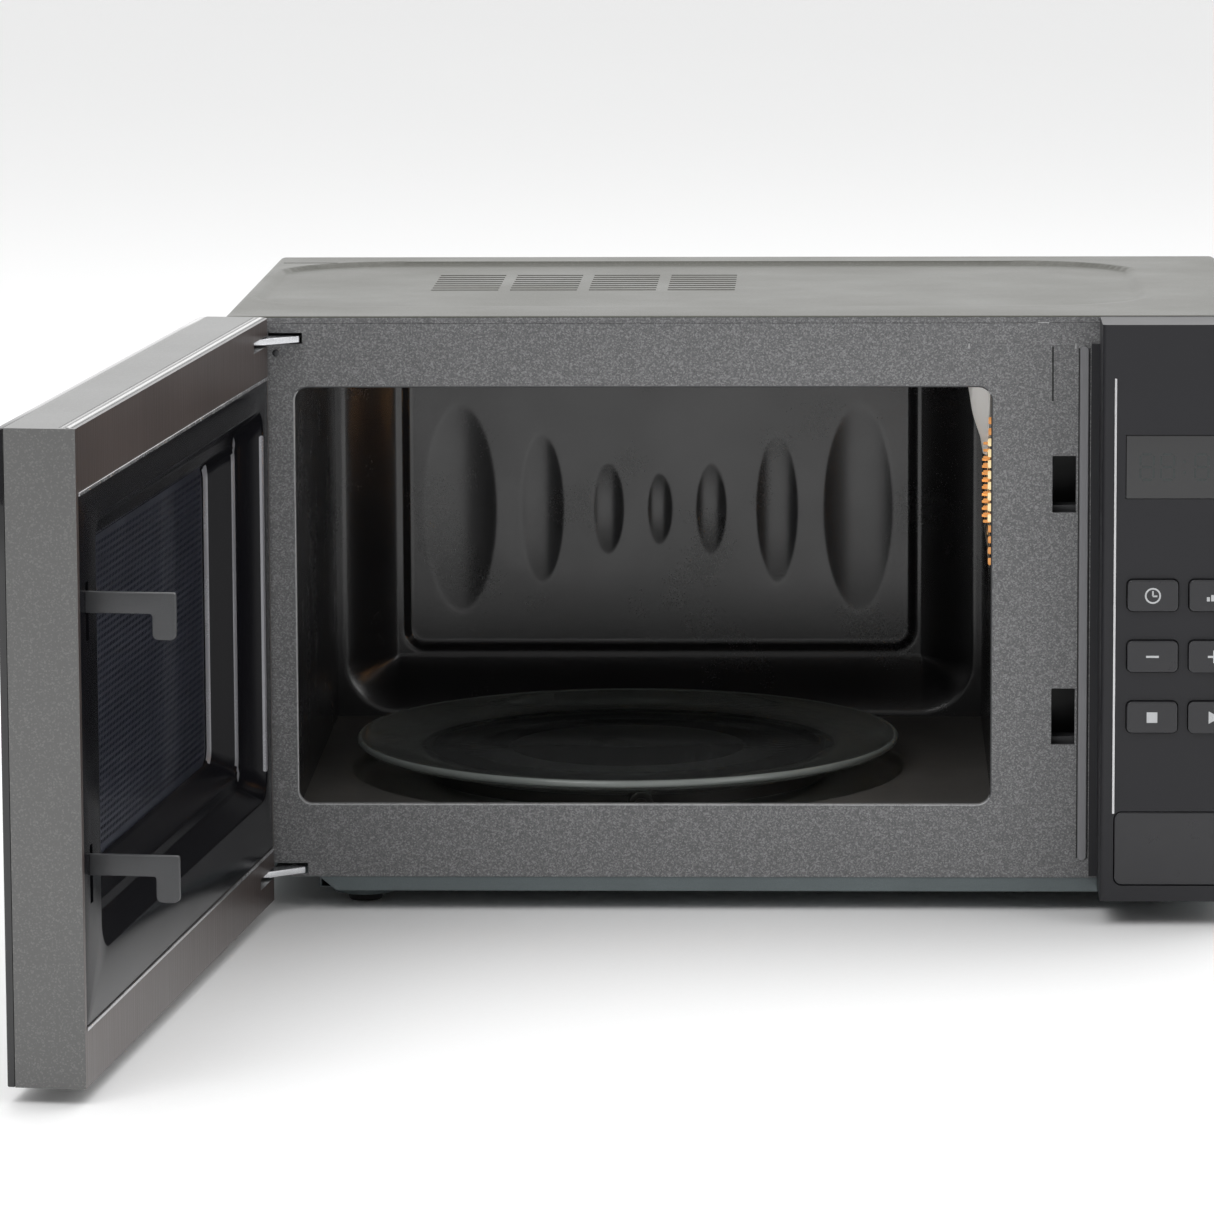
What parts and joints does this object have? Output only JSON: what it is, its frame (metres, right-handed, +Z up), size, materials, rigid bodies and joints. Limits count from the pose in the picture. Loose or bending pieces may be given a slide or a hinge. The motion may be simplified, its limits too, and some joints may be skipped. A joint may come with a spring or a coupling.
{
  "type": "microwave oven",
  "caption": "Countertop microwave oven with its left-hinged door open, glass turntable, lit dark cavity, latch hooks, push keys and working parts inside.",
  "frame": {"origin": "centre of the cabinet's footprint, on the plane that the feet stand on", "axes": "+X to the user's right facing the oven, +Y from the door side to the back, +Z up"},
  "size_m": [0.5465, 0.7522, 0.287],
  "materials": {
    "cover_paint": "satin olive-grey paint",
    "base_paint": "satin blue-grey paint",
    "plate_paint": "speckled metallic grey paint",
    "cavity_enamel": "gloss near-black coating",
    "galvanised": "dull zinc",
    "bright_steel": "bright",
    "bright_trim": "bright satin",
    "rubber": "matt",
    "mica": "pale mica sheet",
    "table_glass": "clear pressed glass",
    "lamp_glass": "clear",
    "dark_glass": "dark tinted",
    "film": "clear film",
    "gloss_black": "gloss",
    "door_plastic": "fine brushed satin",
    "latch_plastic": "satin",
    "white_plastic": "satin",
    "roller_plastic": "satin heat-resistant plastic",
    "screen_paint": "satin black",
    "copper": "enamelled wire",
    "core_steel": "laminated",
    "aluminium": "plain",
    "board": "circuit board",
    "key_plastic": "satin"
  },
  "bodies": {
    "cabinet": {"cabinet_wrap": "cover_paint", "base_pan": "base_paint", "feet": "rubber", "rear_panel": "galvanised", "cord_bush": "rubber", "cabinet_screws": "bright_steel", "cavity_front_plate": "plate_paint", "cavity_left_wall": "cavity_enamel", "cavity_right_wall": "cavity_enamel", "cavity_roof": "cavity_enamel", "cavity_floor": "cavity_enamel", "cavity_back": "cavity_enamel", "waveguide_cover": "mica", "waveguide": "galvanised", "magnetron_yoke": "galvanised", "magnetron_core": "aluminium", "transformer_core": "core_steel", "transformer_coils": "copper", "hv_capacitor": "aluminium", "hv_diode": "latch_plastic", "fan_duct": "latch_plastic", "fan_motor": "core_steel", "lamp_holder": "galvanised", "lamp_bulb": "lamp_glass", "turntable_motor": "galvanised", "filter_board": "board", "thermal_cutout": "latch_plastic", "control_panel": "gloss_black", "panel_accent_line": "bright_trim", "display_window": "dark_glass", "control_board": "board", "button_spring": "bright_steel", "latch_board": "latch_plastic", "micro_switches": "latch_plastic", "slot_trim_strip": "bright_trim", "hinge_plates": "bright_steel"},
    "door": {"door_frame": "door_plastic", "hinge_pins": "bright_steel", "door_glass": "dark_glass", "choke_cover": "gloss_black", "window_film": "film", "door_screen": "screen_paint", "inner_trim_lines": "bright_trim", "latch_spring": "bright_steel"},
    "latch": {"latch_key": "latch_plastic"},
    "drive": {"drive_coupler": "roller_plastic"},
    "plate": {"glass_plate": "table_glass"},
    "ring": {"roller_ring": "roller_plastic"},
    "roller_1": {"roller_1": "roller_plastic"},
    "roller_2": {"roller_2": "roller_plastic"},
    "roller_3": {"roller_3": "roller_plastic"},
    "fan": {"fan_blade": "white_plastic"},
    "door_button": {"open_button": "key_plastic"},
    "lever": {"release_lever": "white_plastic"},
    "key_1": {"key_1": "key_plastic"},
    "key_2": {"key_2": "key_plastic"},
    "key_3": {"key_3": "key_plastic"},
    "key_4": {"key_4": "key_plastic"},
    "key_5": {"key_5": "key_plastic"},
    "key_6": {"key_6": "key_plastic"}
  },
  "joints": [
    {"name": "door_hinge", "type": "hinge", "parent": "cabinet", "child": "door", "pos_m": [-0.2335, -0.179, 0.1435], "axis": [0, 0, 1], "range_deg": [0, 96.5]},
    {"name": "latch_slide", "type": "slide", "parent": "door", "child": "latch", "axis": [0, 0, 1], "range_m": [0, 0.003], "stiffness_N_per_m": 400, "springref_m": -0.004, "deforming": ["latch_spring"]},
    {"name": "turntable_spin", "type": "hinge", "parent": "cabinet", "child": "drive", "pos_m": [-0.057, -0.024, 0.039], "axis": [0, 0, 1], "continuous": true},
    {"name": "plate_lift", "type": "slide", "parent": "drive", "child": "plate", "axis": [0, 0, 1], "range_m": [0, 0.06]},
    {"name": "ring_spin", "type": "hinge", "parent": "cabinet", "child": "ring", "pos_m": [-0.057, -0.024, 0.039], "axis": [0, 0, 1], "continuous": true},
    {"name": "fan_spin", "type": "hinge", "parent": "cabinet", "child": "fan", "pos_m": [0.18365, 0.119, 0.1315], "axis": [0, 1, 0], "continuous": true},
    {"name": "button_slide", "type": "slide", "parent": "cabinet", "child": "door_button", "axis": [0, 1, 0], "range_m": [0, 0.005], "stiffness_N_per_m": 400, "springref_m": -0.003, "deforming": ["button_spring"]},
    {"name": "lever_turn", "type": "hinge", "parent": "cabinet", "child": "lever", "pos_m": [0.155, -0.15, 0.0635], "axis": [1, 0, 0], "range_deg": [0, 12.2]},
    {"name": "roller_1_spin", "type": "hinge", "parent": "ring", "child": "roller_1", "pos_m": [-0.15126, 0.01995, 0.0456], "axis": [-0.9063, 0.4226, 0], "continuous": true},
    {"name": "roller_2_spin", "type": "hinge", "parent": "ring", "child": "roller_2", "pos_m": [-0.04794, -0.1276, 0.0456], "axis": [0.0872, -0.9962, 0], "continuous": true},
    {"name": "roller_3_spin", "type": "hinge", "parent": "ring", "child": "roller_3", "pos_m": [0.02819, 0.03565, 0.0456], "axis": [0.8192, 0.5736, 0], "continuous": true},
    {"name": "key_1_slide", "type": "slide", "parent": "cabinet", "child": "key_1", "axis": [0, 1, 0], "range_m": [0, 0.0012], "stiffness_N_per_m": 500, "springref_m": -0.001},
    {"name": "key_2_slide", "type": "slide", "parent": "cabinet", "child": "key_2", "axis": [0, 1, 0], "range_m": [0, 0.0012], "stiffness_N_per_m": 500, "springref_m": -0.001},
    {"name": "key_3_slide", "type": "slide", "parent": "cabinet", "child": "key_3", "axis": [0, 1, 0], "range_m": [0, 0.0012], "stiffness_N_per_m": 500, "springref_m": -0.001},
    {"name": "key_4_slide", "type": "slide", "parent": "cabinet", "child": "key_4", "axis": [0, 1, 0], "range_m": [0, 0.0012], "stiffness_N_per_m": 500, "springref_m": -0.001},
    {"name": "key_5_slide", "type": "slide", "parent": "cabinet", "child": "key_5", "axis": [0, 1, 0], "range_m": [0, 0.0012], "stiffness_N_per_m": 500, "springref_m": -0.001},
    {"name": "key_6_slide", "type": "slide", "parent": "cabinet", "child": "key_6", "axis": [0, 1, 0], "range_m": [0, 0.0012], "stiffness_N_per_m": 500, "springref_m": -0.001}
  ],
  "couplings": [
    {"joint": "ring_spin", "follows": "turntable_spin", "ratio": 0.5},
    {"joint": "lever_turn", "follows": "button_slide", "rad_per_m": 41},
    {"joint": "roller_1_spin", "follows": "turntable_spin", "ratio": -8.3871},
    {"joint": "roller_2_spin", "follows": "turntable_spin", "ratio": -8.3871},
    {"joint": "roller_3_spin", "follows": "turntable_spin", "ratio": -8.3871}
  ]
}
